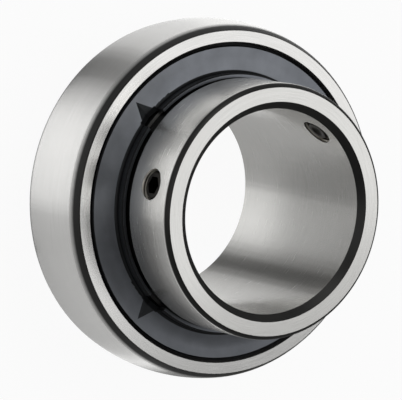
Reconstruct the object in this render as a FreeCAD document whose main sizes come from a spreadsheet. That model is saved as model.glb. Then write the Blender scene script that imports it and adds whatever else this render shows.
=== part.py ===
"""Insert ball bearing with two set screws, for a 50 mm shaft.

Z is the shaft's axis and points to the wide side of the inner ring, where the set screws are.
The origin is the centre of the outer ring's sphere, in the plane of the balls. The first set screw
points along -Y. All sizes are in millimetres and degrees.
"""
import FreeCAD, Part
import math
import os
import re

import Sketcher

SIZES = {
    # rings
    "bore_diameter": 50.0,
    "inner_wall": 6.25,
    "outer_wall": 6.3,
    "wide_collar": 16.4,
    "narrow_collar": 2.8,
    "outer_edge_drop": 1.3,
    "outer_edge_width": 2.8,
    "outer_edge_radius": 7.5,
    "mouth_step": 0.95,
    "mouth_chamfer": 0.2,
    "inner_edge_drop": 1.08,
    "inner_edge_width": 1.5,
    "inner_edge_radius": 1.6,
    "bore_chamfer_drop": 1.75,
    "bore_chamfer_width": 1.4,
    "narrow_chamfer": 0.6,
    "oil_hole_diameter": 2.4,
    # balls and raceways
    "ball_count": 10,
    "ball_diameter": 12.7,
    "inner_race_depth": 2.6,
    "outer_race_depth": 2.65,
    "groove_ratio": 0.52,
    "ball_play": 0.05,
    # cage
    "cage_thickness": 0.9,
    "cage_width": 5.4,
    "cage_room": 1.0,
    "pocket_play": 0.25,
    "rivet_diameter": 1.8,
    "rivet_head_diameter": 3.0,
    "rivet_head_height": 0.7,
    # seals
    "seal_groove_depth": 1.2,
    "seal_groove_width": 1.4,
    "seal_groove_bevel": 0.3,
    "core_thickness": 0.5,
    "core_inner_gap": 1.35,
    "core_outer_reach": 0.25,
    "core_step_place": 0.7,
    "core_step_width": 1.0,
    "core_step": 0.4,
    "core_lift": 0.3,
    "rubber_cover": 0.4,
    "bead_slack": 0.05,
    "bead_length": 1.2,
    "bead_play": 0.1,
    "lip_play": 0.08,
    "lip_width": 0.3,
    "lip_taper": 0.35,
    # flingers
    "flinger_thickness": 1.0,
    "flinger_gap": 0.75,
    "flinger_recess": 0.3,
    "flinger_bend_radius": 0.9,
    "flinger_edge_chamfer": 0.3,
    "hub_height": 2.6,
    "neck_width": 1.9,
    "neck_depth": 0.65,
    "neck_flank": 0.3,
    "dart_count": 4,
    "dart_angle": 60.0,
    "dart_margin": 1.4,
    "dart_width": 5.6,
    "dart_depth": 0.9,
    "dart_room": 0.5,
    "dart_setback": 0.35,
    # set screws
    "screw_set_back": 8.2,
    "screw_angle_apart": 120.0,
    "screw_hole_chamfer": 0.35,
    "thread_diameter": 8.0,
    "thread_pitch": 1.0,
    "pitch_line_ratio": 0.6495,
    "thread_play": 0.05,
    "screw_recess": 0.6,
    "screw_tip_gap": 0.15,
    "screw_chamfer": 0.6,
    "point_diameter": 5.0,
    "cup_diameter": 3.4,
    "cup_depth": 0.9,
    "socket_flats": 4.0,
    "socket_depth": 2.8,
}

# Radii and heights that follow from the sizes. Radii run from the bore outwards, and heights from
# the plane of the balls outwards, piece by piece
DERIVED = {
    "bore": "bore_diameter / 2",
    "collar": "bore + inner_wall",
    "ball": "ball_diameter / 2",
    "pitch": "collar - inner_race_depth + ball",
    "groove": "groove_ratio * ball_diameter",
    "outer_land": "pitch + ball - outer_race_depth",
    "mouth": "outer_land + mouth_step",
    "sphere": "outer_land + outer_wall",
    "flinger_rim": "mouth - flinger_gap",
    "dart_length": "flinger_rim - dart_margin - collar - dart_setback",
    "seal_floor": "ball + pocket_play + cage_thickness + cage_room",
    "core_low": "seal_floor + core_lift - core_step",
    "core_high": "seal_floor + core_lift",
    "low_cover": "core_low + core_thickness + rubber_cover",
    "high_cover": "core_high + core_thickness + rubber_cover",
    "flinger_under": "low_cover + dart_room + dart_depth",
    "flinger_face": "flinger_under + flinger_thickness",
    "outer_face": "flinger_face + flinger_recess",
    "hub_end": "flinger_face + hub_height",
    "neck_end": "hub_end + neck_width",
    "wide_face": "neck_end + wide_collar",
    "narrow_face": "neck_end + narrow_collar",
    "thread": "(thread_diameter - pitch_line_ratio * thread_pitch) / 2",
    "screw_height": "wide_face - screw_set_back",
    "screw_length": "inner_wall - screw_tip_gap - screw_recess",
}

document = FreeCAD.newDocument("insert_bearing")
sheet = document.addObject("Spreadsheet::Sheet", "Sizes")
for row, (name, value) in enumerate(SIZES.items(), start=1):
    sheet.set(f"A{row}", name)
    sheet.set(f"B{row}", str(value))
    sheet.setAlias(f"B{row}", name)
document.recompute()


def spelt_out(formula):
    """The formula with every derived name in it written out in sizes."""
    return re.sub(
        r"[a-z_]+",
        lambda word: f"({spelt_out(DERIVED[word[0]])})" if word[0] in DERIVED else word[0],
        formula,
    )


def tied(formula):
    """The formula with every size in it pointing at its cell of the sheet."""
    return re.sub(
        r"[a-z_]+",
        lambda word: f"Sizes.{word[0]}" if word[0] in SIZES else word[0],
        spelt_out(formula),
    )


def number(formula):
    """What the formula comes to now."""
    return float(sheet.evalExpression(spelt_out(formula)))


def origin_feature(body, role):
    """The body's own origin plane or axis."""
    return next(feature for feature in body.Origin.OriginFeatures if feature.Role == role)


def new_body(label):
    """An empty body, whose label is the name of the piece."""
    body = document.addObject("PartDesign::Body", label)
    body.Label = label
    return body


def new_sketch(body, role, name, shift=None):
    """An empty sketch on one of the body's origin planes, moved by the formulas in shift."""
    sketch = body.newObject("Sketcher::SketchObject", f"{body.Label}_{name}")
    sketch.AttachmentSupport = [(origin_feature(body, role), "")]
    sketch.MapMode = "FlatFace"
    for axis, formula in (shift or {}).items():
        sketch.setExpression(f"AttachmentOffset.Base.{axis}", tied(formula))
    return sketch


def constrain(sketch, name, kind, *values, formula):
    """A dimension of the sketch that follows a formula of the sheet."""
    index = sketch.addConstraint(Sketcher.Constraint(kind, *values, number(formula)))
    sketch.renameConstraint(index, name)
    sketch.setExpression(f"Constraints.{name}", tied(formula))


def draw_outline(sketch, corners):
    """Closed outline through the corners, anticlockwise.

    A corner is (across, up), as formulas. A corner with a third and fourth value starts an arc: its
    radius, and 1 where the arc's centre lies to the left of the way forward or -1 to the right.
    """
    points = [FreeCAD.Vector(number(corner[0]), number(corner[1]), 0) for corner in corners]
    ends = []
    for index, corner in enumerate(corners):
        start, finish = points[index], points[(index + 1) % len(points)]
        if len(corner) == 2:
            edge = sketch.addGeometry(Part.LineSegment(start, finish), False)
            ends.append((edge, 1, 2))
            continue
        radius, side = number(corner[2]), corner[3]
        chord = finish - start
        left = FreeCAD.Vector(-chord.y, chord.x, 0).normalize()
        reach = math.sqrt(max(radius ** 2 - (chord.Length / 2) ** 2, 0))
        centre = (start + finish) * 0.5 + left * (side * reach)
        angles = [math.atan2(point.y - centre.y, point.x - centre.x) for point in (start, finish)]
        first, last = angles if side > 0 else angles[::-1]
        if last < first:
            last += 2 * math.pi
        circle = Part.Circle(centre, FreeCAD.Vector(0, 0, 1), radius)
        edge = sketch.addGeometry(Part.ArcOfCircle(circle, first, last), False)
        ends.append((edge, 1, 2) if side > 0 else (edge, 2, 1))
    for index, corner in enumerate(corners):
        edge, start, finish = ends[index]
        after, after_start, _ = ends[(index + 1) % len(ends)]
        sketch.addConstraint(Sketcher.Constraint("Coincident", edge, finish, after, after_start))
        constrain(sketch, f"across_{index}", "DistanceX", -1, 1, edge, start, formula=corner[0])
        constrain(sketch, f"up_{index}", "DistanceY", -1, 1, edge, start, formula=corner[1])
        if len(corner) == 4:
            constrain(sketch, f"radius_{index}", "Radius", edge, formula=corner[2])


def draw_circle(sketch, across, up, radius):
    """Circle with its centre and radius on formulas."""
    centre = FreeCAD.Vector(number(across), number(up), 0)
    edge = sketch.addGeometry(Part.Circle(centre, FreeCAD.Vector(0, 0, 1), number(radius)), False)
    label = f"circle_{edge}"
    constrain(sketch, f"{label}_across", "DistanceX", -1, 1, edge, 3, formula=across)
    constrain(sketch, f"{label}_up", "DistanceY", -1, 1, edge, 3, formula=up)
    constrain(sketch, f"{label}_radius", "Radius", edge, formula=radius)


def turn(body, name, corners, kind="Revolution", plane="XZ_Plane", axis="V_Axis", shift=None):
    """Turned form, or a turned cut with kind Groove, about an axis of its sketch."""
    sketch = new_sketch(body, plane, f"{name}_outline", shift)
    draw_outline(sketch, corners)
    feature = body.newObject(f"PartDesign::{kind}", f"{body.Label}_{name}")
    feature.Profile = sketch
    feature.ReferenceAxis = (sketch, [axis])
    feature.Angle = 360
    document.recompute()
    return feature


def extrude(body, name, sketch, kind, length, backwards=False):
    """Pad or Pocket of the sketch, as long as the formula says."""
    feature = body.newObject(f"PartDesign::{kind}", f"{body.Label}_{name}")
    feature.Profile = sketch
    feature.Type = 0
    feature.Reversed = backwards
    feature.setExpression("Length", tied(length))
    document.recompute()
    return feature


def around(body, feature, count, angle="360", backwards=False):
    """The feature repeated about Z, over the given angle."""
    pattern = body.newObject("PartDesign::PolarPattern", f"{feature.Name}_pattern")
    pattern.Originals = [feature]
    pattern.Axis = (origin_feature(body, "Z_Axis"), [""])
    pattern.Reversed = backwards
    pattern.setExpression("Angle", tied(angle))
    pattern.setExpression("Occurrences", tied(count))
    body.Tip = pattern
    document.recompute()
    return pattern


def turned_over(angle_about_axis=0.0):
    """Place of a piece that is the same as its front twin, turned over onto the back side."""
    about_axis = FreeCAD.Rotation(FreeCAD.Vector(0, 0, 1), angle_about_axis)
    over = FreeCAD.Rotation(FreeCAD.Vector(1, 0, 0), 180)
    return FreeCAD.Placement(FreeCAD.Vector(), over * about_axis)


def make_outer_ring():
    """Outer ring: spherical outside, raceway and a seal groove at each mouth."""
    body = new_body("outer_ring")
    edge_end = "(outer_face - outer_edge_width)"
    edge = f"sqrt(sphere ^ 2 - {edge_end} ^ 2)"
    race_end = "sqrt(groove ^ 2 - (outer_land - (pitch + ball + ball_play - groove)) ^ 2)"
    seal_groove = "mouth + seal_groove_depth"
    seal_groove_top = "seal_floor + seal_groove_width"
    upper = [
        (f"{edge} - outer_edge_drop", "outer_face"),
        ("mouth + mouth_chamfer", "outer_face"),
        ("mouth", "outer_face - mouth_chamfer"),
        ("mouth", f"{seal_groove_top} + seal_groove_bevel"),
        (seal_groove, seal_groove_top),
        (seal_groove, "seal_floor"),
        ("outer_land", "seal_floor"),
        ("outer_land", race_end, "groove", -1),
    ]
    lower = [(across, f"-({up})") for across, up, *_ in reversed(upper)]
    lower[-1] += ("outer_edge_radius", 1)
    sides = [(edge, f"-{edge_end}", "sphere", 1), (edge, edge_end, "outer_edge_radius", 1)]
    turn(body, "ring", upper + lower + sides)

    # Lubrication hole from the sphere into the ball space, midway between raceway and seal groove
    sketch = new_sketch(body, "XZ_Plane", "oil_hole_outline")
    draw_circle(sketch, "0", f"-({race_end} + seal_floor) / 2", "oil_hole_diameter / 2")
    extrude(body, "oil_hole", sketch, "Pocket", "sphere")
    return body


def make_inner_ring():
    """Inner ring: raceway, a neck behind each flinger, and threaded holes in the wide side."""
    body = new_body("inner_ring")
    race_end = "sqrt(groove ^ 2 - (pitch - ball - ball_play + groove - collar) ^ 2)"
    neck = "collar - neck_depth"
    face_edge = "collar - inner_edge_drop"
    turn(body, "ring", [
        ("bore + narrow_chamfer", "-narrow_face"),
        (face_edge, "-narrow_face", "inner_edge_radius", 1),
        ("collar", "-narrow_face + inner_edge_width"),
        ("collar", "-neck_end"),
        (neck, "-neck_end + neck_flank"),
        (neck, "-hub_end"),
        ("collar", "-hub_end"),
        ("collar", f"-{race_end}", "groove", -1),
        ("collar", race_end),
        ("collar", "hub_end"),
        (neck, "hub_end"),
        (neck, "neck_end - neck_flank"),
        ("collar", "neck_end"),
        ("collar", "wide_face - inner_edge_width", "inner_edge_radius", 1),
        (face_edge, "wide_face"),
        ("bore + bore_chamfer_drop", "wide_face"),
        ("bore", "wide_face - bore_chamfer_width"),
        ("bore", "-narrow_face + narrow_chamfer"),
    ])

    # Threaded holes with a chamfered mouth, at the thread's pitch line: the first along -Y, the
    # second further round. The cut runs from clear outside the collar to clear inside the bore
    hole = "thread + thread_play / 2"
    cut = turn(body, "screw_hole", [
        ("-(collar + inner_wall)", "0"),
        ("-(bore - inner_wall)", "0"),
        ("-(bore - inner_wall)", hole),
        ("-(collar - screw_hole_chamfer)", hole),
        ("-(collar + inner_wall)", f"{hole} + screw_hole_chamfer + inner_wall"),
    ], kind="Groove", plane="YZ_Plane", axis="H_Axis", shift={"y": "screw_height"})
    around(body, cut, "2", "screw_angle_apart", backwards=True)
    return body


def make_ball(index):
    """One ball, on the pitch circle."""
    ball = document.addObject("Part::Sphere", f"ball_{index + 1:02d}")
    ball.Label = ball.Name
    ball.setExpression("Radius", tied("ball"))
    angle = f"{index} * 360 / ball_count"
    ball.setExpression("Placement.Base.x", tied(f"pitch * cos({angle})"))
    ball.setExpression("Placement.Base.y", tied(f"pitch * sin({angle})"))
    return ball


def add_domes(body, name, kind, radius):
    """Upper halves of spheres over all balls, added or cut."""
    dome = body.newObject(f"PartDesign::{kind}", f"{body.Label}_{name}")
    dome.AttachmentSupport = [(origin_feature(body, "XY_Plane"), "")]
    dome.MapMode = "FlatFace"
    dome.setExpression("AttachmentOffset.Base.x", tied("pitch"))
    dome.setExpression("Radius", tied(radius))
    dome.Angle1 = 0
    document.recompute()
    around(body, dome, "ball_count")


def make_cage_half(label, placement):
    """Half of the pressed ribbon cage: a flat ring with a pocket over each ball."""
    body = new_body(label)
    inner, outer = "pitch - cage_width / 2", "pitch + cage_width / 2"
    pocket = "ball + pocket_play"

    sketch = new_sketch(body, "XY_Plane", "web_outline")
    draw_circle(sketch, "0", "0", inner)
    draw_circle(sketch, "0", "0", outer)
    extrude(body, "web", sketch, "Pad", "cage_thickness")
    add_domes(body, "shells", "AdditiveSphere", f"{pocket} + cage_thickness")
    add_domes(body, "pockets", "SubtractiveSphere", pocket)

    # The ribbon is no wider than the web, so the domes are trimmed inside and outside it
    sketch = new_sketch(body, "XY_Plane", "inner_trim_outline")
    draw_circle(sketch, "0", "0", inner)
    extrude(body, "inner_trim", sketch, "Pocket", "ball_diameter", backwards=True)
    sketch = new_sketch(body, "XY_Plane", "outer_trim_outline")
    draw_circle(sketch, "0", "0", outer)
    draw_circle(sketch, "0", "0", "sphere")
    extrude(body, "outer_trim", sketch, "Pocket", "ball_diameter", backwards=True)

    sketch = new_sketch(body, "XY_Plane", "rivet_hole_outline")
    halfway = "180 / ball_count"
    draw_circle(sketch, f"pitch * cos({halfway})", f"pitch * sin({halfway})", "rivet_diameter / 2")
    hole = extrude(body, "rivet_hole", sketch, "Pocket", "cage_thickness", backwards=True)
    around(body, hole, "ball_count")
    body.Placement = placement
    return body


def make_cage_rivets():
    """Rivets through both halves of the cage, one between each two balls."""
    body = new_body("cage_rivets")
    body.AllowCompound = True
    shank, head = "rivet_diameter / 2", "rivet_head_diameter / 2"
    top = "(cage_thickness + rivet_head_height)"
    rivet = turn(body, "rivet", [
        ("0", f"-{top}"),
        (shank, f"-{top}"),
        (head, f"-{top} + rivet_head_height / 2"),
        (head, "-cage_thickness"),
        (shank, "-cage_thickness"),
        (shank, "cage_thickness"),
        (head, "cage_thickness"),
        (head, f"{top} - rivet_head_height / 2"),
        (shank, top),
        ("0", top),
    ], shift={"x": "pitch"})
    around(body, rivet, "ball_count")
    halfway = number("180 / ball_count")
    body.Placement = FreeCAD.Placement(FreeCAD.Vector(), FreeCAD.Rotation(FreeCAD.Vector(0, 0, 1), halfway))
    return body


# Outline that the seal's steel core and its rubber share, from the core's inner edge outwards
CORE_TOP = [
    ("collar + core_inner_gap", "core_low + core_thickness"),
    ("pitch + core_step_place - core_step_width", "core_low + core_thickness"),
    ("pitch + core_step_place", "core_high + core_thickness"),
    ("mouth + core_outer_reach", "core_high + core_thickness"),
]


def make_seal_core(label, placement):
    """Pressed steel ring inside the seal, with one step in it."""
    body = new_body(label)
    under = [(across, f"{up} - core_thickness") for across, up in CORE_TOP]
    turn(body, "ring", under + CORE_TOP[::-1])
    body.Placement = placement
    return body


def make_seal_rubber(label, placement):
    """Rubber moulded on the core: a bead in the outer ring's groove and a lip at the inner ring."""
    body = new_body(label)
    bead = "mouth + seal_groove_depth - bead_play"
    bead_top = "seal_floor + seal_groove_width - bead_slack"
    lip = "collar + lip_play"
    lip_root = "collar + core_inner_gap - lip_width"
    turn(body, "ring", [
        (lip, "core_low + lip_taper"),
        (lip_root, "core_low"),
        ("collar + core_inner_gap", "core_low"),
        *CORE_TOP,
        ("mouth + core_outer_reach", "seal_floor"),
        (bead, "seal_floor"),
        (bead, bead_top),
        (f"{bead} - bead_length", bead_top),
        (f"{bead} - bead_length - rubber_cover / 2", "high_cover"),
        ("pitch + core_step_place", "high_cover"),
        ("pitch + core_step_place - core_step_width", "low_cover"),
        (lip_root, "low_cover"),
        (lip, "core_low + lip_taper + lip_width"),
    ])
    body.Placement = placement
    return body


def slope(body, feature):
    """Makes a dart's pad or pocket climb from its depth at the hub to nothing at the tip."""
    feature.UseCustomVector = True
    feature.AlongSketchNormal = True
    feature.Direction = FreeCAD.Vector(1, 0, 0)
    feature.setExpression("Direction.z", tied("dart_depth / dart_length"))
    document.recompute()
    around(body, feature, "dart_count")


def make_flinger(label, placement):
    """Pressed flinger: a disc on a short hub, with V darts that stiffen the bend and slot the hub."""
    body = new_body(label)
    hub = "collar + flinger_thickness"
    bend = f"{hub} + flinger_bend_radius"
    bend_top = "flinger_face + flinger_bend_radius"
    turn(body, "disc", [
        ("collar", bend_top, "flinger_thickness + flinger_bend_radius", 1),
        (bend, "flinger_under"),
        ("flinger_rim", "flinger_under"),
        ("flinger_rim", "flinger_face - flinger_edge_chamfer"),
        ("flinger_rim - flinger_edge_chamfer", "flinger_face"),
        (bend, "flinger_face", "flinger_bend_radius", -1),
        (hub, bend_top),
        (hub, "hub_end - flinger_edge_chamfer"),
        (f"{hub} - flinger_edge_chamfer", "hub_end"),
        ("collar", "hub_end"),
    ])

    # The sheet under a dart is the same V, one thickness lower
    half = "dart_width / 2"
    sketch = new_sketch(body, "YZ_Plane", "dart_sheet_outline", {"z": "collar + dart_setback"})
    draw_outline(sketch, [
        (f"-{half}", "flinger_under"),
        ("0", "flinger_under - dart_depth"),
        (half, "flinger_under"),
        (half, "flinger_face"),
        ("0", "flinger_face - dart_depth"),
        (f"-{half}", "flinger_face"),
    ])
    slope(body, extrude(body, "dart_sheet", sketch, "Pad", "dart_length"))
    turn(body, "face_trim", [
        (bend, "flinger_face"),
        ("flinger_rim", "flinger_face"),
        ("flinger_rim", "hub_end"),
        (bend, "hub_end"),
    ], kind="Groove")

    # The V itself, which also slots the hub down to the bend
    inward = "(flinger_thickness + dart_setback)"
    deeper = f"flinger_face - dart_depth * {inward} / dart_length"
    sketch = new_sketch(body, "YZ_Plane", "dart_outline", {"z": "collar - flinger_thickness"})
    draw_outline(sketch, [
        ("0", f"{deeper} - dart_depth"),
        (half, deeper),
        (half, "hub_end + flinger_thickness"),
        (f"-{half}", "hub_end + flinger_thickness"),
        (f"-{half}", deeper),
    ])
    slope(body, extrude(body, "dart", sketch, "Pocket", f"dart_length + {inward}"))
    body.Placement = placement
    return body


def make_set_screw(label, angle):
    """Set screw with a hexagon socket and a cup point, drawn at the thread's pitch line."""
    body = new_body(label)
    radius = "thread - thread_play / 2"
    turn(body, "screw", [
        ("0", "cup_depth"),
        ("cup_diameter / 2", "0"),
        ("point_diameter / 2", "0"),
        (radius, f"{radius} - point_diameter / 2"),
        (radius, "screw_length - screw_chamfer"),
        (f"{radius} - screw_chamfer", "screw_length"),
        ("0", "screw_length"),
    ])
    sketch = new_sketch(body, "XY_Plane", "socket_outline", {"z": "screw_length"})
    corner, flat = "socket_flats / sqrt(3)", "socket_flats / 2"
    draw_outline(sketch, [
        (corner, "0"),
        (f"{corner} / 2", flat),
        (f"-{corner} / 2", flat),
        (f"-{corner}", "0"),
        (f"-{corner} / 2", f"-{flat}"),
        (f"{corner} / 2", f"-{flat}"),
    ])
    extrude(body, "socket", sketch, "Pocket", "socket_depth")
    outward = FreeCAD.Vector(math.cos(math.radians(angle)), math.sin(math.radians(angle)), 0)
    tip = outward * number("bore + screw_tip_gap") + FreeCAD.Vector(0, 0, number("screw_height"))
    body.Placement = FreeCAD.Placement(tip, FreeCAD.Rotation(FreeCAD.Vector(0, 0, 1), outward))
    return body


def check(condition, message):
    """Stops the script with the message unless the condition holds."""
    if not condition:
        raise RuntimeError(message)


def check_cuts(body):
    """Every pocket and groove of the body has to take material away, and every pattern to repeat it."""
    volume = None
    for feature in body.Group:
        if not feature.isDerivedFrom("PartDesign::Feature"):
            continue
        kind = feature.TypeId.split("::")[1]
        if kind in ("Pocket", "Groove", "SubtractiveSphere"):
            check(feature.Shape.Volume < volume - 1e-6, f"{feature.Name} cuts nothing")
        volume = feature.Shape.Volume


def export(pieces):
    """Writes one file for each piece, once every object and shape has passed."""
    document.recompute()
    for item in document.Objects:
        check("Invalid" not in item.State and "Error" not in item.State, f"{item.Name} has failed")
    for piece in pieces:
        check(not piece.Shape.isNull() and piece.Shape.isValid(), f"{piece.Label} has no valid shape")
        if piece.isDerivedFrom("PartDesign::Body"):
            check_cuts(piece)
    os.makedirs("parts", exist_ok=True)
    for piece in pieces:
        piece.Shape.exportStep(f"parts/{piece.Label}.step")
        print(f"{piece.Label}: {len(piece.Shape.Solids)} solid(s), {piece.Shape.Volume:.1f} mm3")


front = FreeCAD.Placement()
dart_angle = number("dart_angle")
dart_turn = FreeCAD.Rotation(FreeCAD.Vector(0, 0, 1), dart_angle)
first_screw_angle = -90.0
pieces = [
    make_outer_ring(),
    make_inner_ring(),
    *[make_ball(index) for index in range(int(number("ball_count")))],
    make_cage_half("cage_front", front),
    make_cage_half("cage_back", turned_over()),
    make_cage_rivets(),
    make_seal_core("seal_core_front", front),
    make_seal_core("seal_core_back", turned_over()),
    make_seal_rubber("seal_rubber_front", front),
    make_seal_rubber("seal_rubber_back", turned_over()),
    make_flinger("flinger_front", FreeCAD.Placement(FreeCAD.Vector(), dart_turn)),
    make_flinger("flinger_back", turned_over(dart_angle)),
    make_set_screw("set_screw_1", first_screw_angle),
    make_set_screw("set_screw_2", first_screw_angle - number("screw_angle_apart")),
]
export(pieces)
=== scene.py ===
import math

import bpy
from mathutils import Matrix, Vector


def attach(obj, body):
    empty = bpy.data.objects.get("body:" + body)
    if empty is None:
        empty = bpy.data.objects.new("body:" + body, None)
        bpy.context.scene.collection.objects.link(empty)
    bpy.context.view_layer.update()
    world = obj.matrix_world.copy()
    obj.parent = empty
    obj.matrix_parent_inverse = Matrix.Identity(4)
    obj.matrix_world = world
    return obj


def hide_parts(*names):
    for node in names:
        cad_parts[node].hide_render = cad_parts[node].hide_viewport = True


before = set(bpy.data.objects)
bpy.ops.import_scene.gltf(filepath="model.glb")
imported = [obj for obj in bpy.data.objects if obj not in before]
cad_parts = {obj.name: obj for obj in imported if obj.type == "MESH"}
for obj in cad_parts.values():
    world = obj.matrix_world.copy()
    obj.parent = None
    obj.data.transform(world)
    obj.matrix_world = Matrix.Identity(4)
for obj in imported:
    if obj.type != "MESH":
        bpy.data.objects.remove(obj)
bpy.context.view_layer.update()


# Inner ring: hardened bearing steel, turned, tapped for two set screws and then ground. Grinding leaves
# fine marks that run round the shaft's axis, on the cylinders as on both faces. The rounded edges are
# painted dark, a painted shade, and so is a band over the necks beside the raceway, for the groove's shadow.
mm = 0.001
bore, collar, neck = 25, 31.25, 30.6
narrow_face, wide_face = -19, 32.6
neck_start, neck_end = 12.3, 16.2
neck_start_slope, neck_end_slope = 0.2, 0.15
race_end, race_radius = 5.2895, 6.604
edge_width, edge_height, edge_radius = 1.08, 1.5, 1.6
narrow_chamfer = 0.6
wide_chamfer_width, wide_chamfer_height = 1.75, 1.4
ring_segments, reamer_segments, race_steps, edge_steps = 384, 64, 28, 10
screw_height = 24.4
screw_angles = (270, 150)
thread_pitch, thread_steps = 1, 40
hole_radius, hole_thread_radius = 3.7, 3.95
tap_overrun = 2
on_axis = 0.0001
hard_edge_angle = math.radians(12)


def add_node(tree, kind, sources=None, values=None, **settings):
    """Adds a shader node: sources feed its sockets, values stand on them, and settings are its own."""
    node = tree.nodes.new("ShaderNode" + kind)
    for name, setting in settings.items():
        setattr(node, name, setting)
    for socket, value in (values or {}).items():
        node.inputs[socket].default_value = value
    for socket, source in (sources or {}).items():
        tree.links.new(source, node.inputs[socket])
    return node.outputs


def start_material(name, constants):
    """New material with constants on its shader's own sockets; gives it, its tree and those sockets."""
    material = bpy.data.materials.new(name)
    material.use_nodes = True
    sockets = material.node_tree.nodes["Principled BSDF"].inputs
    for socket, value in constants.items():
        sockets[socket].default_value = value
    return material, material.node_tree, sockets


def between(tree, source, low, high, start=0, end=1):
    """Turns a value from start to end into one from low to high."""
    span = {"From Min": start, "From Max": end, "To Min": low, "To Max": high}
    return add_node(tree, "MapRange", {"Value": source}, span)["Result"]


def noise_between(tree, noise, low, high):
    """Turns a noise, which keeps mostly between 0.3 and 0.7, into a value from low to high."""
    return between(tree, noise, low, high, 0.3, 0.7)


def ramp(tree, source, stops):
    """Colour by a value from 0 to 1, from pairs of its position and a colour."""
    node = tree.nodes.new("ShaderNodeValToRGB")
    elements = node.color_ramp.elements
    while len(elements) < len(stops):
        elements.new(1)
    for element, (position, colour) in zip(elements, sorted(stops)):
        element.position = position
        element.color = (*colour, 1)
    tree.links.new(source, node.inputs["Fac"])
    return node.outputs["Color"]


def grey(level):
    return (level, level, level)


def from_axis(tree, place):
    """Vector from the bearing's axis to each point of the surface, level with it."""
    return add_node(
        tree, "VectorMath", {0: place["Object"]}, {1: (1, 1, 0)}, operation="MULTIPLY"
    )["Vector"]


def steepness(tree, place):
    """How far the surface faces along the axis: 0 on a cylinder and 1 on a flat face."""
    slant = add_node(tree, "SeparateXYZ", {"Vector": place["Normal"]})["Z"]
    return add_node(tree, "Math", {0: slant}, operation="ABSOLUTE")["Value"]


def ground_steel(name, colour, round_roughness, flat_roughness, stretch, edge_shade_level, painted_shade_band=(0, 0, 0)):
    """Ground steel, with reflections that stretch smears across its circular marks.

    The sixth argument is the share of its brightness left on edges neither upright nor flat: painted shade.
    Beyond the radius the last argument gives first, the band between its two heights, in mm, on both sides,
    is painted shade.
    """
    mark_width, mark_depth, mark_strength = 0.16 * mm, 0.01 * mm, 0.12
    marks_along = 5
    mark_tone, mark_roughness = 0.08, 0.25
    zone_limits = (0.25, 0.41, 0.93, 0.97)
    edge_roughness = 0.42
    painted_shade_level = 0.1
    waves_round, wave_depth = 13, 0.05 * mm
    wave_end, wave_full = 0.3, 0.2

    material, tree, shader = start_material(
        name, {"Metallic": 1, "Anisotropic": stretch, "Anisotropic Rotation": 0.25}
    )
    tangent = add_node(tree, "Tangent", direction_type="RADIAL", axis="Z")
    tree.links.new(tangent["Tangent"], shader["Tangent"])
    place = add_node(tree, "TexCoord")
    level_place = from_axis(tree, place)
    radius = add_node(tree, "VectorMath", {0: level_place}, operation="LENGTH")["Value"]
    around = add_node(tree, "VectorMath", {0: level_place}, operation="NORMALIZE")["Vector"]

    height = add_node(
        tree, "VectorMath", {0: place["Object"]}, {1: (0, 0, 1 / mark_width)}, operation="MULTIPLY"
    )["Vector"]
    along = add_node(
        tree, "VectorMath", {0: around, 2: height}, {1: (marks_along, marks_along, 0)},
        operation="MULTIPLY_ADD",
    )["Vector"]
    across = add_node(tree, "Math", {0: radius}, {1: 1 / mark_width}, operation="MULTIPLY")["Value"]
    marks = add_node(
        tree, "TexNoise", {"Vector": along, "W": across}, {"Scale": 1, "Detail": 3}, noise_dimensions="4D"
    )["Fac"]
    mark_shade = noise_between(tree, marks, 1 - mark_tone, 1 + mark_tone)
    ground = add_node(tree, "VectorMath", {"Scale": mark_shade}, {0: colour}, operation="SCALE")["Vector"]

    upright = steepness(tree, place)
    # Painted shade: edges that are neither upright nor flat are darkened to the sixth argument's share.
    edge_shade_tones = [grey(1), grey(edge_shade_level), grey(edge_shade_level), grey(1)]
    painted_edge_shade = ramp(tree, upright, list(zip(zone_limits, edge_shade_tones)))
    rough_levels = [grey(round_roughness), grey(edge_roughness), grey(edge_roughness), grey(flat_roughness)]
    zone_roughness = ramp(tree, upright, list(zip(zone_limits, rough_levels)))
    # Painted shade: beyond a radius, a band between two heights on both sides is darkened to a tenth.
    neck_radius, low, high = (size * mm for size in painted_shade_band)
    up = add_node(tree, "SeparateXYZ", {"Vector": place["Object"]})["Z"]
    level = add_node(tree, "Math", {0: up}, operation="ABSOLUTE")["Value"]
    in_band = add_node(
        tree, "Math", {0: level}, {1: (low + high) / 2, 2: (high - low) / 2}, operation="COMPARE"
    )["Value"]
    beyond = add_node(tree, "Math", {0: radius}, {1: neck_radius}, operation="GREATER_THAN")["Value"]
    painted_shade_share = add_node(tree, "Math", {0: in_band, 1: beyond}, operation="MULTIPLY")["Value"]
    dim = between(tree, painted_shade_share, 1, painted_shade_level)
    dark = add_node(tree, "VectorMath", {0: painted_edge_shade, "Scale": dim}, operation="SCALE")["Vector"]
    base = add_node(tree, "VectorMath", {0: ground, 1: dark}, operation="MULTIPLY")["Vector"]
    tree.links.new(base, shader["Base Color"])
    uneven = between(tree, marks, 1 - mark_roughness, 1 + mark_roughness)
    rough = add_node(tree, "Math", {0: zone_roughness, 1: uneven}, operation="MULTIPLY")["Value"]
    tree.links.new(rough, shader["Roughness"])

    mark_bump = add_node(
        tree, "Bump", {"Height": marks}, {"Strength": mark_strength, "Distance": mark_depth}
    )["Normal"]
    lobes = add_node(
        tree, "TexNoise", {"Vector": around}, {"Scale": waves_round, "Detail": 3, "Roughness": 0.5}
    )["Fac"]
    round_share = between(tree, upright, 0, 1, wave_end, wave_full)
    wave_height = add_node(tree, "Math", {0: lobes, 1: round_share}, operation="MULTIPLY")["Value"]
    waves = add_node(
        tree, "Bump", {"Height": wave_height, "Normal": mark_bump}, {"Strength": 1, "Distance": wave_depth}
    )["Normal"]
    tree.links.new(waves, shader["Normal"])
    return material


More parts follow.
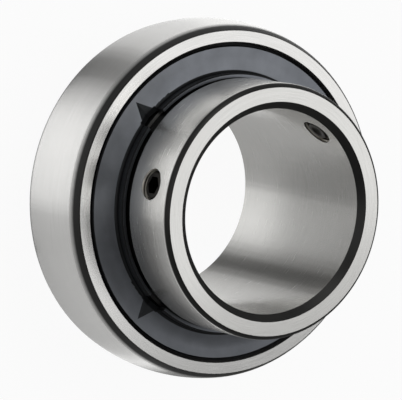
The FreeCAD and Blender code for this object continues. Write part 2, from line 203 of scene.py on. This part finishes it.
def arc(start, end, radius, side, steps):
    """Points of an arc in the section, after its start and up to its end; side is 1 where it bulges out."""
    half = math.dist(start, end) / 2
    rise = side * math.sqrt(radius * radius - half * half) / (2 * half)
    centre = (
        (start[0] + end[0]) / 2 - rise * (end[1] - start[1]),
        (start[1] + end[1]) / 2 + rise * (end[0] - start[0]),
    )
    first = math.atan2(start[1] - centre[1], start[0] - centre[0])
    sweep = math.atan2(end[1] - centre[1], end[0] - centre[0]) - first
    sweep = (sweep + math.pi) % (2 * math.pi) - math.pi
    points = []
    for step in range(1, steps + 1):
        angle = first + sweep * step / steps
        points.append((centre[0] + radius * math.cos(angle), centre[1] + radius * math.sin(angle)))
    return points


def turned(name, outline, segments, closed=True):
    """Turned piece about Z, drawn out ring by ring along its outline of radii and heights in mm."""
    bpy.ops.object.select_all(action="DESELECT")
    radius, height = outline[0]
    bpy.ops.mesh.primitive_circle_add(vertices=segments, radius=radius * mm, location=(0, 0, height * mm))
    piece = bpy.context.object
    piece.name = name
    bpy.ops.object.transform_apply(location=True)
    bpy.ops.object.mode_set(mode="EDIT")
    for next_radius, next_height in outline[1:] + (outline[:1] if closed else []):
        rise = (0, 0, (next_height - height) * mm)
        bpy.ops.mesh.extrude_edges_move(TRANSFORM_OT_translate={"value": rise})
        share = next_radius / radius
        bpy.ops.transform.resize(value=(share, share, 1), center_override=(0, 0, next_height * mm))
        radius, height = next_radius, next_height
    bpy.ops.mesh.select_all(action="SELECT")
    bpy.ops.mesh.remove_doubles(threshold=0.001 * mm)
    bpy.ops.mesh.normals_make_consistent(inside=False)
    bpy.ops.object.mode_set(mode="OBJECT")
    return piece


def select_only(piece):
    bpy.ops.object.select_all(action="DESELECT")
    piece.select_set(True)
    bpy.context.view_layer.objects.active = piece


def threaded(name, root, crest, low, high):
    """Threaded rod along Z from low to high, closed at both ends, with the pitch of the set screws."""
    bpy.ops.object.select_all(action="DESELECT")
    foot = (root * mm, 0, -2 * thread_pitch * mm)
    bpy.ops.mesh.primitive_plane_add(size=0.01 * mm, location=foot)
    rod = bpy.context.object
    rod.name = name
    bpy.ops.object.transform_apply(location=True)
    bpy.ops.object.mode_set(mode="EDIT")
    bpy.ops.mesh.merge(type="CENTER")
    for outward, pitch_share in ((0, 0.2), (crest - root, 0.3), (0, 0.2), (root - crest, 0.3)):
        step = (outward * mm, 0, pitch_share * thread_pitch * mm)
        bpy.ops.mesh.extrude_vertices_move(TRANSFORM_OT_translate={"value": step})
    bpy.ops.object.mode_set(mode="OBJECT")
    helix = rod.modifiers.new("helix", "SCREW")
    helix.screw_offset = thread_pitch * mm
    helix.iterations = math.ceil((high + 3 * thread_pitch) / thread_pitch)
    helix.steps = helix.render_steps = thread_steps
    helix.use_merge_vertices = True
    helix.merge_threshold = 0.001 * mm
    bpy.ops.object.modifier_apply(modifier="helix")
    bpy.ops.object.mode_set(mode="EDIT")
    bpy.ops.mesh.select_all(action="SELECT")
    bpy.ops.mesh.remove_doubles(threshold=0.001 * mm)
    for end, outward in ((low, -1), (high, 1)):
        bpy.ops.mesh.select_all(action="SELECT")
        bpy.ops.mesh.bisect(
            plane_co=(0, 0, end * mm), plane_no=(0, 0, outward), use_fill=True, clear_outer=True,
            threshold=0.0001 * mm,
        )
    bpy.ops.mesh.select_all(action="SELECT")
    bpy.ops.mesh.normals_make_consistent(inside=False)
    bpy.ops.object.mode_set(mode="OBJECT")
    return rod


def combine(piece, tool, operation):
    """Boolean of a piece with a tool, which it uses up."""
    select_only(piece)
    step = piece.modifiers.new("combine", "BOOLEAN")
    step.operation = operation
    step.solver = "MANIFOLD"
    step.object = tool
    bpy.ops.object.modifier_apply(modifier="combine")
    bpy.data.objects.remove(tool)


def direction(azimuth, elevation=0):
    """Unit vector from the bearing, with azimuth 0 along +X and 90 along +Y, in degrees."""
    turn = math.radians(azimuth)
    rise = math.radians(elevation)
    return Vector((math.cos(rise) * math.cos(turn), math.cos(rise) * math.sin(turn), math.sin(rise)))


def set_in_hole(piece, angle):
    """Lays a piece that stands on Z along a set screw's axis."""
    select_only(piece)
    turn = direction(angle).to_track_quat("Z", "Y").to_matrix().to_4x4()
    piece.matrix_world = Matrix.Translation((0, 0, screw_height * mm)) @ turn
    bpy.ops.object.transform_apply(location=True, rotation=True)


def in_tapped_wall(point):
    """Whether a point of the ring is inside the wall, on a tapped hole's thread or countersink."""
    wall_start, wall_end, reach = bore + 0.05, collar - 0.02, 4.3 * mm
    if not wall_start < math.hypot(point.x, point.y) / mm < wall_end:
        return False
    for screw_angle in screw_angles:
        outward = direction(screw_angle)
        offset = point - Vector((0, 0, screw_height * mm))
        distance = offset.dot(outward)
        if distance > 0 and (offset - distance * outward).length < reach:
            return True
    return False


inner_steel = ground_steel(
    "inner_ring_steel", (0.73, 0.725, 0.705), 0.25, 0.22, 0.8, 0.055, painted_shade_band=(30, 9.5, 16.15)
)
cut_steel = ground_steel("cut_thread_steel", (0.66, 0.63, 0.56), 0.3, 0.3, 0.3, 0.7)

outline = [
    (bore, narrow_face + narrow_chamfer), (bore + narrow_chamfer, narrow_face),
    (collar - edge_width, narrow_face),
]
outline += arc(outline[-1], (collar, narrow_face + edge_height), edge_radius, 1, edge_steps)
outline += [
    (collar, -neck_end), (neck, -neck_end + neck_end_slope), (neck, -neck_start),
    (collar, -neck_start + neck_start_slope), (collar, -race_end),
]
outline += arc(outline[-1], (collar, race_end), race_radius, -1, race_steps)
outline += [
    (collar, neck_start - neck_start_slope), (neck, neck_start), (neck, neck_end - neck_end_slope),
    (collar, neck_end), (collar, wide_face - edge_height),
]
outline += arc(outline[-1], (collar - edge_width, wide_face), edge_radius, 1, edge_steps)
outline += [(bore + wide_chamfer_width, wide_face), (bore, wide_face - wide_chamfer_height)]
inner_ring = turned("inner_ring_turned", outline, ring_segments)

reamer_low, reamer_high = collar - 1, collar + 1.3
reamer_tip, reamer_rim = hole_radius - 0.8, hole_radius + 1.5
reamer_outline = [
    (on_axis, reamer_low), (reamer_tip, reamer_low), (reamer_rim, reamer_high), (on_axis, reamer_high),
]
for screw_angle in screw_angles:
    tap = threaded("tap", hole_radius, hole_thread_radius, bore - tap_overrun, collar + tap_overrun)
    set_in_hole(tap, screw_angle)
    combine(inner_ring, tap, "DIFFERENCE")
    reamer = turned("reamer", reamer_outline, reamer_segments, closed=False)
    set_in_hole(reamer, screw_angle)
    combine(inner_ring, reamer, "DIFFERENCE")
select_only(inner_ring)
bpy.ops.object.shade_smooth_by_angle(angle=hard_edge_angle)
inner_ring.data.materials.clear()
inner_ring.data.materials.append(inner_steel)
inner_ring.data.materials.append(cut_steel)
for face in inner_ring.data.polygons:
    if in_tapped_wall(face.center):
        face.material_index = 1
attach(inner_ring, "inner")
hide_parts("inner_ring")


# Outer ring: the same steel, ground outside to a sphere that swivels in its housing. Its rounded
# edges are painted dark, a painted shade, and so is a thin band at each face's outer rim. A small hole in the
# sphere lets grease in.
def finish(node_names, material):
    """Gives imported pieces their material."""
    for node_name in node_names:
        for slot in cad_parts[node_name].material_slots:
            slot.material = material


outer_steel = ground_steel(
    "outer_ring_steel", (0.78, 0.775, 0.76), 0.24, 0.2, 0.75, 0.07, painted_shade_band=(42.55, 11.9, 12.1)
)
finish(["outer_ring"], outer_steel)


# Balls: ten of chromium steel, lapped and polished. They run between the two raceways, and the
# cage keeps them apart.
def grain(tree, place, size, detail=3):
    """Noise over the surface, of a size in metres."""
    return add_node(
        tree, "TexNoise", {"Vector": place["Object"]}, {"Scale": 1 / size, "Detail": detail}
    )["Fac"]


def worn_metal(name, colour, roughness, grain_size, depth):
    """Metal with an uneven shade, shine and surface; sizes are in mm."""
    stain_size, stain_tone = 2.5, 0.15
    material, tree, shader = start_material(name, {"Metallic": 1})
    place = add_node(tree, "TexCoord")
    fine = grain(tree, place, grain_size * mm)
    stains = grain(tree, place, stain_size * mm)
    shade = noise_between(tree, stains, 1 - stain_tone, 1 + stain_tone)
    base = add_node(tree, "VectorMath", {"Scale": shade}, {0: colour}, operation="SCALE")["Vector"]
    tree.links.new(base, shader["Base Color"])
    tree.links.new(between(tree, fine, roughness * 0.75, roughness * 1.25), shader["Roughness"])
    bump = add_node(tree, "Bump", {"Height": fine}, {"Strength": 0.5, "Distance": depth * mm})["Normal"]
    tree.links.new(bump, shader["Normal"])
    return material


ball_names = [f"ball_{number:02d}" for number in range(1, 11)]
finish(ball_names, worn_metal("ball_steel", (0.72, 0.72, 0.72), 0.06, 0.8, 0.0005))


# Cage: two wavy halves pressed from steel strip, joined round the balls by ten rivets whose heads
# are closed on both sides.
finish(["cage_front", "cage_back"], worn_metal("cage_steel", (0.5, 0.49, 0.47), 0.35, 0.3, 0.01))
finish(["cage_rivets"], worn_metal("rivet_steel", (0.58, 0.58, 0.58), 0.25, 0.3, 0.005))


# Seals: one on each side, of nitrile rubber moulded on a pressed steel core. Its bead sits in the
# outer ring's groove, and its lip runs on the inner ring.
core_steel = worn_metal("seal_core_steel", (0.45, 0.45, 0.45), 0.4, 0.3, 0.01)
finish(["seal_core_front", "seal_core_back"], core_steel)

pore_size, pore_depth, pore_strength = 0.2 * mm, 0.02 * mm, 0.4
rubber, tree, rubber_shader = start_material("seal_rubber", {})
place = add_node(tree, "TexCoord")
pores = grain(tree, place, pore_size)
rubber_tone = ramp(tree, pores, [(0.35, (0.008, 0.008, 0.009)), (0.65, (0.017, 0.017, 0.018))])
tree.links.new(rubber_tone, rubber_shader["Base Color"])
tree.links.new(between(tree, pores, 0.55, 0.85), rubber_shader["Roughness"])
rubber_bump = add_node(
    tree, "Bump", {"Height": pores}, {"Strength": pore_strength, "Distance": pore_depth}
)["Normal"]
tree.links.new(rubber_bump, rubber_shader["Normal"])
finish(["seal_rubber_front", "seal_rubber_back"], rubber)


# Flingers: thin steel sheet with a blue-grey coating, pressed with four V darts that slot the hub,
# and fixed on the inner ring by that hub. The hub and, darker still, the bends and dart walls carry painted
# shade, and the press draws the sheet up a little before the bend, so the disc is slightly dished there.
hub_painted_shade, bend_painted_shade, disc_tone = (0.09, 0.094, 0.1), (0.02, 0.021, 0.022), (0.195, 0.206, 0.226)
cloud_size, cloud_tone = 5 * mm, 0.1
coat_grain_size, coat_grain_depth, coat_grain_strength = 0.25 * mm, 0.01 * mm, 0.3
dish_start, dish_end, dish_rise = 36.5 * mm, 33 * mm, 0.35 * mm

coating, tree, coat_shader = start_material("flinger_coating", {"Metallic": 0.95})
place = add_node(tree, "TexCoord")
# Painted shade: the coating is darker on the hub and darkest on bends and dart walls, by how far they turn
# from the flat disc.
coat_tone_and_painted_shade = ramp(
    tree, steepness(tree, place), [(0.05, hub_painted_shade), (0.2, bend_painted_shade), (0.935, bend_painted_shade), (0.975, disc_tone)]
)
clouds = grain(tree, place, cloud_size, detail=4)
patchy = noise_between(tree, clouds, 1 - cloud_tone, 1 + cloud_tone)
coat_colour = add_node(tree, "VectorMath", {0: coat_tone_and_painted_shade, "Scale": patchy}, operation="SCALE")["Vector"]
tree.links.new(coat_colour, coat_shader["Base Color"])
coat_grain = grain(tree, place, coat_grain_size)
tree.links.new(between(tree, coat_grain, 0.28, 0.44), coat_shader["Roughness"])
coat_bump = add_node(
    tree, "Bump", {"Height": coat_grain}, {"Strength": coat_grain_strength, "Distance": coat_grain_depth}
)["Normal"]
disc_radius = add_node(tree, "VectorMath", {0: from_axis(tree, place)}, operation="LENGTH")["Value"]
inward = between(tree, disc_radius, 0, 1, dish_start, dish_end)
dish = add_node(tree, "Math", {0: inward}, {1: 2}, operation="POWER")["Value"]
dish_bump = add_node(
    tree, "Bump", {"Height": dish, "Normal": coat_bump}, {"Strength": 1, "Distance": dish_rise}
)["Normal"]
tree.links.new(dish_bump, coat_shader["Normal"])
finish(["flinger_front", "flinger_back"], coating)


# Set screws: two of alloy steel, blackened, with a hexagon socket and a cup point. They sit in the
# wide side's threaded holes, and their points bite into the shaft.
black = worn_metal("screw_black", (0.034, 0.032, 0.029), 0.35, 0.15, 0.01)

screw_tip, screw_top = bore + 0.15, collar - 0.6
screw_root, screw_crest, blank_radius = 3.35, 3.65, 3.8
cup_radius, cup_depth, point_radius = 1.7, 0.9, 2.5
point_chamfer, top_chamfer = 1.3, 0.75
key_width, key_depth = 4, 5.6
blank_segments, die_overrun = 96, 1
blank_outline = [
    (on_axis, screw_tip + cup_depth), (cup_radius, screw_tip), (point_radius, screw_tip),
    (blank_radius, screw_tip + point_chamfer), (blank_radius, screw_top - top_chamfer),
    (blank_radius - top_chamfer, screw_top), (on_axis, screw_top),
]
for number, screw_angle in enumerate(screw_angles, start=1):
    screw = threaded(
        f"set_screw_{number}_threaded", screw_root, screw_crest, screw_tip - die_overrun,
        screw_top + die_overrun,
    )
    blank = turned("blank", blank_outline, blank_segments, closed=False)
    combine(screw, blank, "INTERSECT")
    bpy.ops.object.select_all(action="DESELECT")
    bpy.ops.mesh.primitive_cylinder_add(
        vertices=6, radius=key_width / math.sqrt(3) * mm, depth=key_depth * mm,
        location=(0, 0, screw_top * mm),
    )
    key = bpy.context.object
    bpy.ops.object.transform_apply(location=True)
    combine(screw, key, "DIFFERENCE")
    set_in_hole(screw, screw_angle)
    bpy.ops.object.shade_smooth_by_angle(angle=hard_edge_angle)
    screw.data.materials.clear()
    screw.data.materials.append(black)
    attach(screw, f"screw_body_{number}")
    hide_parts(f"set_screw_{number}")


# Floor: a translucent white sheet over a ring of light panels. The camera sees it nearly white, with the
# bearing's shadow on it, and polished steel sees the panels through it. The grey film under the bore,
# which the camera doesn't see, is a painted shadow: it dims what the bore mirrors there, in place of the
# ring's shadow on the sheet.
floor_height = narrow_face * mm
film_width, film_offset, film_drop = 50 * mm, -14 * mm, 1 * mm


def level_plane(name, size, location):
    """Level square plane, with its place in its mesh."""
    bpy.ops.mesh.primitive_plane_add(size=size, location=location)
    plane = bpy.context.object
    plane.name = name
    bpy.ops.object.transform_apply(location=True)
    return plane


sheet, tree = start_material(
    "floor_sheet", {"Base Color": (0.85, 0.85, 0.85, 1), "Roughness": 0.9, "Specular IOR Level": 0}
)[:2]
path = add_node(tree, "LightPath")
surface = tree.nodes["Principled BSDF"].outputs["BSDF"]
white = add_node(tree, "Emission")["Emission"]
clear = add_node(tree, "BsdfTransparent")["BSDF"]
for ray_kind, share, shown in (("Is Camera Ray", 0.94, white), ("Is Glossy Ray", 0.6, clear)):
    mix = add_node(tree, "Math", {0: path[ray_kind]}, {1: share}, operation="MULTIPLY")["Value"]
    surface = add_node(tree, "MixShader", {"Fac": mix, 1: surface, 2: shown})["Shader"]
tree.links.new(surface, tree.nodes["Material Output"].inputs["Surface"])
floor = level_plane("floor", 6, (0, 0, floor_height))
floor.data.materials.append(sheet)

# Painted shadow: a grey card under the sheet, seen only in reflections, stands in for the ring's shadow
# inside the bore.
card = level_plane("card", film_width, (0, film_offset, floor_height - film_drop))
card.visible_camera = False
film, tree = start_material("painted_bore_shadow", {})[:2]
dimmed = add_node(tree, "BsdfTransparent", values={"Color": (0.42, 0.42, 0.42, 1)})["BSDF"]
tree.links.new(dimmed, tree.nodes["Material Output"].inputs["Surface"])
card.data.materials.append(film)


# Room: white to the camera. For all else the panels stand in a ring below the sheet, unequally bright,
# and the rest of the room is dim, so that rounded edges turn dark. The ring is numbered by the azimuth
# of the upright steel that mirrors it to the camera, and levels above it go by height from 0 to 1.
panel_levels = [
    (180, 1.7), (197, 1.5), (205, 1.15), (215, 1.0), (223, 0.75), (228, 0.28), (233, 0.03), (238, 0.05),
    (242, 0.4), (249, 1.0), (255, 1.4), (264, 1.5), (275, 1.35), (282, 1.15), (286, 0.68), (295, 0.6),
    (333, 0.66), (340, 0.9), (346, 1.5), (351, 0.9), (357, 0.08), (20, 0.05), (65, 0.1), (75, 1.6),
]
panel_shares = [(0, 1), (0.22, 1), (0.3, 0.5), (0.4, 0.4), (0.5, 0.1), (0.55, 0)]
room_levels = [
    (0, 0), (0.28, 0.1), (0.38, 0.3), (0.6, 0.35), (0.75, 0.3), (0.85, 0.16), (0.93, 0.16), (0.975, 0.06),
    (0.99, 0.12), (1, 0.28),
]
ring_centre = (-0.011, 0.5515, -0.834)

world = bpy.data.worlds.new("studio")
bpy.context.scene.world = world
world.use_nodes = True
tree = world.node_tree
room = tree.nodes["Background"].inputs
room["Color"].default_value = (1, 1, 1, 1)
ray = add_node(tree, "TexCoord")["Generated"]
ring_offset = tuple(-part for part in ring_centre)
from_centre = add_node(tree, "VectorMath", {0: ray}, {1: ring_offset})["Vector"]
ring_axes = add_node(tree, "SeparateXYZ", {"Vector": from_centre})
turn = add_node(tree, "Math", {0: ring_axes["Y"], 1: ring_axes["X"]}, operation="ARCTAN2")["Value"]
turn_share = between(tree, turn, 0, 1, -math.pi, math.pi)
panel_stops = [(((azimuth + 180) % 360) / 360, grey(level)) for azimuth, level in panel_levels]
panels = ramp(tree, turn_share, panel_stops)
height = between(tree, add_node(tree, "SeparateXYZ", {"Vector": ray})["Z"], 0, 1, -1, 1)
below = ramp(tree, height, [(share, grey(level)) for share, level in panel_shares])
above = ramp(tree, height, [(share, grey(level)) for share, level in room_levels])
glow = add_node(tree, "Math", {0: panels, 1: below, 2: above}, operation="MULTIPLY_ADD")["Value"]
to_camera = add_node(tree, "LightPath")["Is Camera Ray"]
strength = add_node(tree, "Mix", {"Factor": to_camera, "A": glow}, {"B": 1})["Result"]
tree.links.new(strength, room["Strength"])


# Lamps: three soft boxes. The flat faces mirror the one behind the bearing, and the steel that faces the
# camera's side catches the other two after a first reflection.
def soft_box(name, azimuth, elevation, distance, width, height, power):
    """Rectangular lamp, facing the bearing; lengths are in metres and its power is in watts."""
    towards = direction(azimuth, elevation)
    bpy.ops.object.light_add(type="AREA", location=towards * distance)
    lamp = bpy.context.object
    lamp.name = name
    lamp.data.shape = "RECTANGLE"
    lamp.data.size = width
    lamp.data.size_y = height
    lamp.data.energy = power
    lamp.rotation_euler = towards.to_track_quat("Z", "Y").to_euler()


soft_box("rear_box", 125, 60, 0.6, 0.5, 0.56, 0.79)
soft_box("front_box", 271, 57, 0.9, 0.56, 0.42, 0.8)
soft_box("side_box", 197, 52, 0.9, 0.42, 0.4, 0.95)


# Camera: where the photograph was taken from, above the wide side, with a long lens. It is rolled so
# that the shaft's axis points to the right, as it does in the photograph.
view_centre = Vector((0.632, -0.215, -0.217)) * mm
view_distance = 750 * mm
view_azimuth, view_elevation, view_roll = 271.164, 56.525, 101.354
place = view_centre + direction(view_azimuth, view_elevation) * view_distance
bpy.ops.object.camera_add(location=place)
camera = bpy.context.object
facing = Matrix.Rotation(math.radians(view_azimuth + 90), 3, "Z")
tilt = Matrix.Rotation(math.radians(90 - view_elevation), 3, "X")
roll = Matrix.Rotation(math.radians(view_roll), 3, "Z")
camera.rotation_euler = (facing @ tilt @ roll).to_euler()
camera.data.lens = 268.66
bpy.context.scene.camera = camera
bpy.context.scene.view_settings.view_transform = "Standard"
